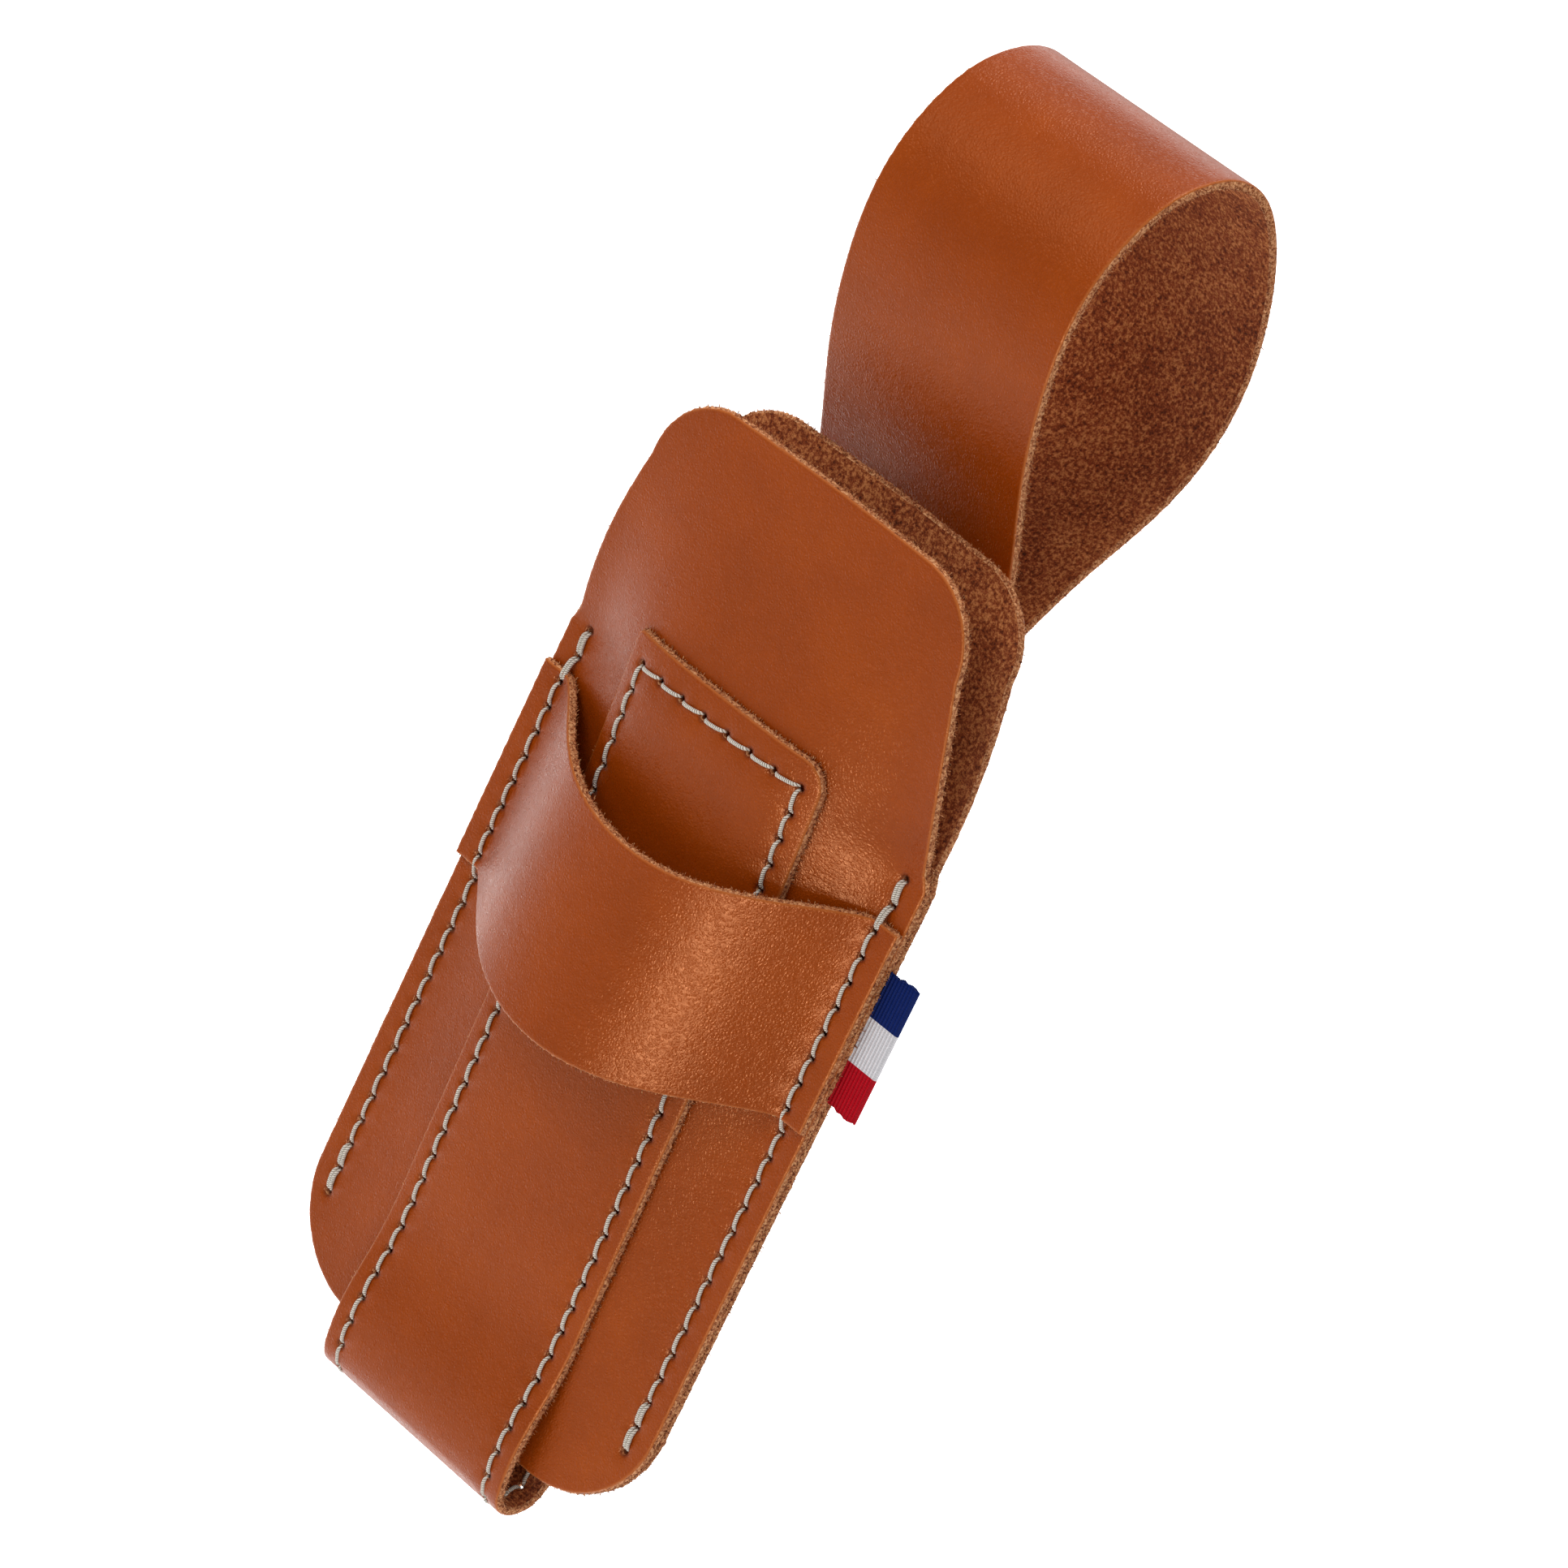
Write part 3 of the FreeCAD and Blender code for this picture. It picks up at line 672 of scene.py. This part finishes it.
strap_row_start = 5.0
strap_row_end = passes(run_end)
strap_count = round((strap_row_end - strap_row_start) / stitch_pitch)
strap_stops = [strap_row_start + (strap_row_end - strap_row_start) * i / strap_count
               for i in range(strap_count + 1)]
row_stops = [-column_x + 2 * column_x * i / row_stitches for i in range(row_stitches + 1)]
strap_holes = [(side * column_x, s) for side in (-1, 1) for s in strap_stops]
strap_holes += [(x, s) for s in (strap_row_start, strap_row_end) for x in row_stops[1:-1]]
strip_outline = [(-strap_half_width, strip_length), (-strap_half_width, square_corner)]
strip_outline += arc((-strap_half_width + square_corner, square_corner), square_corner,
                     180, 270, 0.5)[1:]
strip_outline += arc((strap_half_width - strap_corner, strap_corner), strap_corner, 270, 360)
strip_outline += [(strap_half_width, strip_length)]
strap = cut_leather("centre_strap_leather", strip_outline, strip_skin, strap_holes,
                    lambda x, s: (x / 100 + 4, s / 100), 37, 3.0)
finish_leather(strap, ["centre_strap", "belt_loop", "strap_end"])
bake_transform(strap)

# ---- Cross strap --------------------------------------------------------------------------------
# The tool loop: a curved band over the front, its ends caught in both side seams, with its middle
# standing off the strap behind it. Both long edges are cut in a shallow dip.
cross_low = 67.8
cross_high = 106.9
cross_middle = 82.0
low_dip = 9.2
high_dip = 10.1
room_low = 14.2
room_high = 10.7


def cross_edges(x):
    """The cross strap's lower and upper edge at x."""
    u = min(1.0, abs(x) / seam_half_width)
    bell = (1 - u * u) ** 1.4
    return cross_low - low_dip * bell, cross_high - high_dip * bell


def cross_face(x, z):
    """The depth of the cross strap's grain side."""
    low, high = cross_edges(x)
    u = min(1.0, abs(x) / (seam_half_width - 1.2))
    room = room_low - (room_low - room_high) * (z - low) / (high - low)
    return front_face(x, z) - layer_gap - leather - room * (1 - u * u) ** 1.05


across = np.linspace(-body_half_width, body_half_width, 400)
middles = np.array([cross_face(x, cross_middle) for x in across])
band_run = np.concatenate([[0], np.cumsum(np.hypot(np.diff(across), np.diff(middles)))])
cross_xs = np.interp(np.linspace(0, band_run[-1], 150), band_run, across)
cross_outline = [(x, cross_edges(x)[0]) for x in cross_xs]
cross_outline += [(x, cross_edges(x)[1]) for x in reversed(cross_xs)]
cross_holes = [(x, z) for x, z in seam_holes if cross_low < z < cross_high]
cross_strap = cut_leather(
    "cross_strap_leather", [(float(x), float(z)) for x, z in cross_outline],
    skin(cross_face, -1), cross_holes,
    lambda x, z: (float(np.interp(x, across, band_run)) / 100 + 6, z / 100), 53, 1.6)
finish_leather(cross_strap, ["cross_strap"], "sheath")

# ---- Threads ------------------------------------------------------------------------------------
# Waxed linen thread, 0.74 mm across, cream, two plies twisted together, sewn as a lock stitch
# through every layer. The first and last two stitches of each side seam are sewn twice over.
thread_radius = 0.4
thread_body = 0.92
thread_end = 0.72
thread_sides = 8
run_share = 0.82
# A stitch's ends lie this deep below the grain, and it turns down this steeply to reach them.
sunk = 0.75
dive = 3.5
doubled_apart = 0.34
# Stitches whose holes are above this height on the back go through the panel as well.
back_holes_start = 10.0


def linen_thread():
    """Twisted waxed linen: cream plies with grooves winding round that are painted dark as shade, and a
    faint wax sheen.
    """
    material, shader = new_material("waxed_linen_thread")
    wound = node(material, "ShaderNodeUVMap", {"uv_map": "wound"}).outputs["UV"]
    # The layout has 1 unit round the thread and 1 unit a millimetre along it: two plies wind once
    # round in 0.87 mm, so the bands cross the thread at a slant, about 0.43 mm apart.
    parts = node(material, "ShaderNodeSeparateXYZ", i0=wound)
    turn = node(material, "ShaderNodeMath", {"operation": "MULTIPLY_ADD", 1: 1.15},
                i0=parts.outputs["Y"], i2=parts.outputs["X"]).outputs[0]
    phase = node(material, "ShaderNodeMath", {"operation": "MULTIPLY", 1: 2 * math.pi},
                 i0=turn).outputs[0]
    wave = node(material, "ShaderNodeMath", {"operation": "SINE"}, i0=phase).outputs[0]
    ply = node(material, "ShaderNodeMath", {"operation": "ABSOLUTE"}, i0=wave).outputs[0]
    # Painted shade: the grooves between the plies, low in the bump, are darkened towards grey-brown.
    colour = node(material, "ShaderNodeValToRGB", i0=ply,
                  stops=((0.05, "#6E5B49"), (0.35, "#CFC2B1"), (0.9, "#F1E9DC"))).outputs["Color"]
    material.node_tree.links.new(colour, shader.inputs["Base Color"])
    bump = node(material, "ShaderNodeBump", {"Strength": 0.9, "Distance": 0.0002}, Height=ply)
    material.node_tree.links.new(bump.outputs["Normal"], shader.inputs["Normal"])
    shader.inputs["Roughness"].default_value = 0.55
    shader.inputs["Specular IOR Level"].default_value = 0.35
    shader.inputs["Sheen Weight"].default_value = 0.1
    return material


waxed_linen = linen_thread()


def sew(name, stitches, cad_node):
    """A thread as a row of stitches: each is (first hole, second hole, first way out, second way
    out, sideways shift), and runs up out of one hole, over the leather and down the next."""
    mesh = bmesh.new()
    wound = mesh.loops.layers.uv.new("wound")
    turned = {}
    shares = (0.0, 0.05, 0.13, 0.3, 0.5, 0.7, 0.87, 0.95, 1.0)
    around = thread_sides
    draw = random.Random(name)
    for one, two, way_one, way_two, shift in stitches:
        length = (two - one).length
        ahead = (two - one) / length
        start = draw.uniform(0, 1)
        slant = draw.uniform(0.14, 0.28)
        lift = draw.uniform(-0.03, 0.05)
        rings = []
        for share in shares:
            out = (way_one * (1 - share) + way_two * share).normalized()
            side = ahead.cross(out)
            rise = 1 - abs(2 * share - 1) ** 5
            centre = one + (two - one) * ((1 - run_share) / 2 + run_share * share)
            centre = centre + side * (shift + slant * (1 - 2 * share))
            centre = centre + out * (-sunk + (sunk + thread_radius * thread_body + lift) * rise)
            along = (ahead - out * dive * (2 * share - 1) ** 9).normalized()
            up = (out - along * out.dot(along)).normalized()
            ring = []
            for k in range(around):
                angle = 2 * math.pi * k / around
                size = thread_radius * (thread_body if 0.1 < share < 0.9 else thread_end)
                spoke = side * math.cos(angle) + up * math.sin(angle)
                vert = mesh.verts.new(metres(centre + spoke * size))
                turned[vert] = (k / around, start + share * length)
                ring.append(vert)
            rings.append(ring)
        for upper, lower in zip(rings, rings[1:]):
            for k in range(around):
                after = (k + 1) % around
                face = mesh.faces.new([upper[k], upper[after], lower[after], lower[k]])
                for loop in face.loops:
                    u, v = turned[loop.vert]
                    loop[wound].uv = (1.0 if after == 0 and loop.vert in (upper[0], lower[0]) else u, v)
        mesh.faces.new(list(reversed(rings[0])))
        mesh.faces.new(rings[-1])
    for face in mesh.faces:
        face.smooth = True
    bmesh.ops.recalc_face_normals(mesh, faces=mesh.faces)
    data = bpy.data.meshes.new(name)
    mesh.to_mesh(data)
    mesh.free()
    piece = bpy.data.objects.new(name, data)
    bpy.context.scene.collection.objects.link(piece)
    data.materials.append(waxed_linen)
    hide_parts(cad_node)
    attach(piece, "sheath")
    return piece


def seam_stitches_of(side, inside):
    """A side seam's stitches, with the first and last two sewn twice, a thread's width apart."""
    stitches = []
    for i in range(seam_stitches):
        ends = []
        for z in (i * stitch_pitch, (i + 1) * stitch_pitch):
            if inside:
                ends.append((Vector((side * seam_half_width, pouch_depth, z)), Vector((0, 1, 0))))
            else:
                raised = leather + layer_gap if cross_low < z < cross_high else 0.0
                ends.append((Vector((side * seam_half_width, -raised, z)), Vector((0, -1, 0))))
        doubled = not inside and (i < 2 or i > seam_stitches - 3)
        for shift in ((-doubled_apart, doubled_apart) if doubled else (0.0,)):
            stitches.append((ends[0][0], ends[1][0], ends[0][1], ends[1][1], shift))
    return stitches


for side, label in ((-1, "left"), (1, "right")):
    sew(label + "_seam_thread_front", seam_stitches_of(side, False), label + "_seam_thread_outer")
    sew(label + "_seam_thread_back", seam_stitches_of(side, True), label + "_seam_thread_inner")


def strap_stitches():
    """The strap's stitching on the grain side, and the same inside the pouch and the fold."""
    lines = [[(side * column_x, s) for s in strap_stops] for side in (-1, 1)]
    lines += [[(x, s) for x in row_stops] for s in (strap_row_start, strap_row_end)]
    outer = []
    inner = []
    for line in lines:
        for (x1, s1), (x2, s2) in zip(line, line[1:]):
            one, way_one = strip_skin(x1, s1)
            two, way_two = strip_skin(x2, s2)
            outer.append((one, two, way_one, way_two, 0.0))
            ends = []
            for x, s, mouth, way in ((x1, s1, one, way_one), (x2, s2, two, way_two)):
                if s < fold_distance and mouth.z > 0:
                    inside = Vector((x, front_face(x, mouth.z) + leather, mouth.z))
                    ends.append((inside, Vector((0, 1, 0)), True))
                elif s > fold_distance and mouth.z > back_holes_start:
                    inside = Vector((x, back_face(x, mouth.z) - leather, mouth.z))
                    ends.append((inside, Vector((0, -1, 0)), True))
                else:
                    ends.append((mouth - way * leather, -way, False))
            if ends[0][2] == ends[1][2]:
                inner.append((ends[0][0], ends[1][0], ends[0][1], ends[1][1], 0.0))
    return outer, inner


strap_outer, strap_inner = strap_stitches()
sew("strap_thread_front", strap_outer, "strap_thread_outer")
sew("strap_thread_back", strap_inner, "strap_thread_inner")

# ---- Ribbon tab ---------------------------------------------------------------------------------
# A folded tab of grosgrain ribbon, woven polyester, 26 mm wide, in three bands of colour. Its two
# ends are caught in the right side seam, and the fold stands out beside the pouch.
ribbon_base = 74.0
ribbon_wide = 26.0
ribbon_out = 6.7
ribbon_in = 7.0


def grosgrain():
    """Grosgrain: thick weft ribs across a fine warp, 0.7 mm apart, which is coarse enough to show, in
    dark blue, white and red bands; the polyester has a soft satin shine along the ribs."""
    material, shader = new_material("grosgrain_ribbon")
    woven = node(material, "ShaderNodeUVMap", {"uv_map": "woven"}).outputs["UV"]
    parts = node(material, "ShaderNodeSeparateXYZ", i0=woven)
    bands = node(material, "ShaderNodeValToRGB", i0=parts.outputs["Y"],
                 stops=((0.0, "#C2001A"), (0.335, "#F0EDF1"), (0.665, "#062268")))
    bands.color_ramp.interpolation = "CONSTANT"
    # The layout has 1 unit for 10 mm along the ribbon and 1 unit for its width: 14 ribs in 10 mm.
    ribs = node(material, "ShaderNodeMath", {"operation": "MULTIPLY", 1: 2 * math.pi * 14},
                i0=parts.outputs["X"])
    wave = node(material, "ShaderNodeMath", {"operation": "SINE"}, i0=ribs.outputs[0]).outputs[0]
    warp = node(material, "ShaderNodeMath", {"operation": "MULTIPLY", 1: 2 * math.pi * 60},
                i0=parts.outputs["Y"])
    warp_wave = node(material, "ShaderNodeMath", {"operation": "SINE"}, i0=warp.outputs[0]).outputs[0]
    height = node(material, "ShaderNodeMath", {"operation": "MULTIPLY_ADD", 1: 0.25},
                  i0=warp_wave, i2=wave).outputs[0]
    # Painted shade: the bands are darkened in the grooves between the ribs and warp threads, down to
    # about two thirds.
    shade = node(material, "ShaderNodeMapRange", {1: -1.2, 2: 0.6, 3: 0.66, 4: 1.0},
                 i0=height).outputs[0]
    rib_shaded = node(material, "ShaderNodeMix", {"data_type": "RGBA", "blend_type": "MULTIPLY", 0: 1.0},
                  i6=bands.outputs["Color"], i7=shade)
    material.node_tree.links.new(rib_shaded.outputs[2], shader.inputs["Base Color"])
    bump = node(material, "ShaderNodeBump", {"Strength": 0.7, "Distance": 0.0002}, Height=height)
    material.node_tree.links.new(bump.outputs["Normal"], shader.inputs["Normal"])
    shader.inputs["Roughness"].default_value = 0.6
    shader.inputs["Specular IOR Level"].default_value = 0.08
    return material


def fold_ribbon():
    """The ribbon as one thin strip: in along the back of the seam, round the fold and back in."""
    middle = pouch_depth / 2
    thick = 0.34
    half_gap = 0.5 - thick / 2
    path = []
    inner_x = body_half_width - ribbon_in
    fold_x = body_half_width + ribbon_out - 0.5
    for x in np.linspace(inner_x, fold_x, 16):
        path.append((float(x), middle + half_gap))
    for i in range(1, 8):
        angle = math.pi * i / 8
        path.append((fold_x + half_gap * math.sin(angle), middle + half_gap * math.cos(angle)))
    path += [(x, 2 * middle - y) for x, y in reversed(path[:16])]
    mesh = bmesh.new()
    woven = mesh.loops.layers.uv.new("woven")
    run = [0.0]
    for one, two in zip(path, path[1:]):
        run.append(run[-1] + math.dist(one, two))
    rows = 26
    sides = []
    spots = {}
    draw = random.Random(71)
    frays = [draw.uniform(-0.35, 0.3) for _ in path]
    for offset in (thick / 2, -thick / 2):
        grid = []
        for i, (x, y) in enumerate(path):
            before, after = path[max(0, i - 1)], path[min(len(path) - 1, i + 1)]
            ahead = Vector((after[0] - before[0], after[1] - before[1])).normalized()
            out = Vector((-ahead.y, ahead.x))
            column = []
            for j in range(rows + 1):
                share = j / rows
                z = ribbon_base + ribbon_wide * share
                if j in (0, rows):
                    z += frays[i] if j else -frays[-1 - i]
                vert = mesh.verts.new(metres((x + out.x * offset, y + out.y * offset, z)))
                spots[vert] = (run[i] / 10, share)
                column.append(vert)
            grid.append(column)
        sides.append(grid)
    last = len(path) - 1
    a, b = sides
    for i in range(last):
        for j in range(rows):
            mesh.faces.new([a[i][j], a[i + 1][j], a[i + 1][j + 1], a[i][j + 1]])
            mesh.faces.new([b[i][j + 1], b[i + 1][j + 1], b[i + 1][j], b[i][j]])
        mesh.faces.new([a[i + 1][0], a[i][0], b[i][0], b[i + 1][0]])
        mesh.faces.new([a[i][rows], a[i + 1][rows], b[i + 1][rows], b[i][rows]])
    for j in range(rows):
        mesh.faces.new([a[0][j], a[0][j + 1], b[0][j + 1], b[0][j]])
        mesh.faces.new([a[last][j + 1], a[last][j], b[last][j], b[last][j + 1]])
    for face in mesh.faces:
        face.smooth = True
        for loop in face.loops:
            loop[woven].uv = spots[loop.vert]
    bmesh.ops.recalc_face_normals(mesh, faces=mesh.faces)
    data = bpy.data.meshes.new("ribbon_tab_grosgrain")
    mesh.to_mesh(data)
    mesh.free()
    piece = bpy.data.objects.new("ribbon_tab_grosgrain", data)
    bpy.context.scene.collection.objects.link(piece)
    data.materials.append(grosgrain())
    return piece


ribbon = fold_ribbon()
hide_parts("ribbon_root", "ribbon_tab")
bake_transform(ribbon)

# ---- Stage --------------------------------------------------------------------------------------
# A white sweep well below the sheath, soft studio lights, and the camera.
bpy.ops.object.select_all(action="DESELECT")
bpy.ops.mesh.primitive_plane_add(size=12, location=(0, 0, -0.62))
floor = bpy.context.object
floor.name = "white_floor"
paper, paper_shader = new_material("white_paper")
paper_shader.inputs["Base Color"].default_value = linear("#F6F6F6")
paper_shader.inputs["Roughness"].default_value = 0.9
paper_shader.inputs["Specular IOR Level"].default_value = 0.0
paper_shader.inputs["Emission Color"].default_value = (1, 1, 1, 1)
paper_shader.inputs["Emission Strength"].default_value = 0.3
floor.data.materials.append(paper)

world = bpy.data.worlds.new("studio")
bpy.context.scene.world = world
world.use_nodes = True
world.node_tree.nodes["Background"].inputs["Color"].default_value = (1, 1, 1, 1)
world.node_tree.nodes["Background"].inputs["Strength"].default_value = 0.42


def softbox(name, place, target, size, watts):
    """A rectangular area light that points at target."""
    lamp = bpy.data.lights.new(name, "AREA")
    lamp.shape = "RECTANGLE"
    lamp.size, lamp.size_y = size
    lamp.energy = watts
    light = bpy.data.objects.new(name, lamp)
    bpy.context.scene.collection.objects.link(light)
    light.location = place
    light.rotation_euler = (Vector(target) - Vector(place)).to_track_quat("-Z", "Y").to_euler()
    return light


middle = Vector((0, 0, -0.13))
softbox("key", (-0.5, -1.3, 1.1), middle, (1.0, 1.0), 10.5)
gleam = softbox("gleam", (0.38, -0.98, -0.42), middle, (0.3, 0.26), 8)
gleam.visible_diffuse = False
softbox("fill_right", (1.1, -0.8, 0.55), middle, (0.6, 0.6), 2.4)
softbox("back", (-0.8, 1.25, 0.5), middle, (1.3, 0.6), 3)
sweep = softbox("sweep", (-0.95, 1.4, 1.5), (-0.95, 1.4, -0.62), (2.2, 3.2), 34)
sweep.rotation_euler = (0, 0, math.radians(34))
sweep.data.spread = math.radians(60)

camera_data = bpy.data.cameras.new("camera")
camera_data.lens = 158.35
camera_data.sensor_width = 36
camera = bpy.data.objects.new("camera", camera_data)
bpy.context.scene.collection.objects.link(camera)
# A rotation vector that turns the frame into the camera's, whose z points ahead and y down.
turn = Vector((1.65582574, 0.948071969, -0.0955542670))
looking = Matrix.Rotation(turn.length, 3, turn.normalized()).transposed() @ Matrix.Diagonal((1, -1, -1))
camera.matrix_world = Matrix.Translation((0.6156, -0.92621, 0.25794)) @ looking.to_4x4()
bpy.context.scene.camera = camera
bpy.context.scene.view_settings.view_transform = "Standard"
